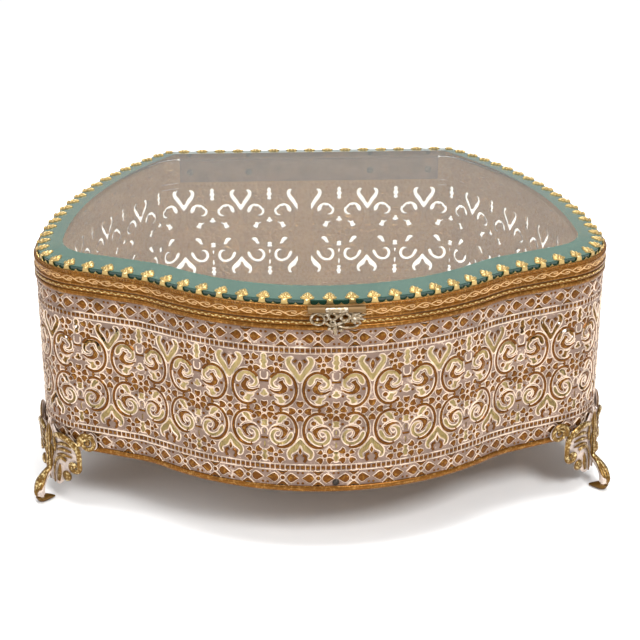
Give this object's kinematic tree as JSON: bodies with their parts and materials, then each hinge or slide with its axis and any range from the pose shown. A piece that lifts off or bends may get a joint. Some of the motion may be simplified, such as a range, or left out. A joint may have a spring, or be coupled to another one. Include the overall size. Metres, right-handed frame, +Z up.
{
  "type": "jewellery casket",
  "caption": "Bow-fronted pierced gilt metal jewellery casket on cast scroll feet, with a hinged bevelled glass lid held by prongs and a hinged clasp.",
  "frame": {"origin": "on the ground, under the middle of the overall box", "axes": "+Z up, -Y towards the bowed front with the clasp, +X to the right when seen from the front"},
  "size_m": [0.2522, 0.2154, 0.1098],
  "materials": {
    "filigree_gilt": "stamped and pierced, antique gilt with a worn pinkish-white wash in the recesses",
    "rim_gilt": "rolled and stamped antique gilt, bright on the raised edges",
    "prong_gilt": "bright pale gilt",
    "foot_gilt": "cast gilt, pinkish-white wash in the recesses",
    "clasp_metal": "cast, gilding worn to a silvery white on the high places",
    "sheet_brass": "plain sheet, dull pinkish brass",
    "pin_steel": "drawn wire",
    "dark_screw": "blackened round head",
    "glass": "clear float glass, polished bevel, green at the edge",
    "lining": "pale cream-gold cloth over card"
  },
  "bodies": {
    "case": {"filigree_wall": "filigree_gilt", "body_top_rim": "rim_gilt", "body_bottom_rim": "rim_gilt", "base_pan": "sheet_brass", "floor_lining": "lining", "pan_screws": "dark_screw", "foot_rivets": "sheet_brass", "hinge_leaf_body": "sheet_brass", "hinge_pin": "pin_steel", "hinge_rivets_body": "sheet_brass", "clasp_catch": "clasp_metal", "foot_front_right": "foot_gilt", "foot_rear_right": "foot_gilt", "foot_front_left": "foot_gilt", "foot_rear_left": "foot_gilt"},
    "lid": {"hinge_leaf_lid": "sheet_brass", "hinge_rivets_lid": "sheet_brass", "lid_rim": "rim_gilt", "prong_gallery": "prong_gilt", "glass_seat": "sheet_brass", "glass_panel": "glass", "clasp_plate": "clasp_metal", "clasp_hinge_pin": "pin_steel"},
    "clasp": {"clasp_flap": "clasp_metal"}
  },
  "joints": [
    {"name": "lid_hinge", "type": "hinge", "parent": "case", "child": "lid", "pos_m": [0, 0.09964, 0.1002], "axis": [-1, 0, 0], "range_deg": [0, 100]},
    {"name": "clasp_hinge", "type": "hinge", "parent": "lid", "child": "clasp", "pos_m": [0.0025, -0.10661, 0.1054], "axis": [-1, 0, 0], "range_deg": [0, 100]}
  ]
}
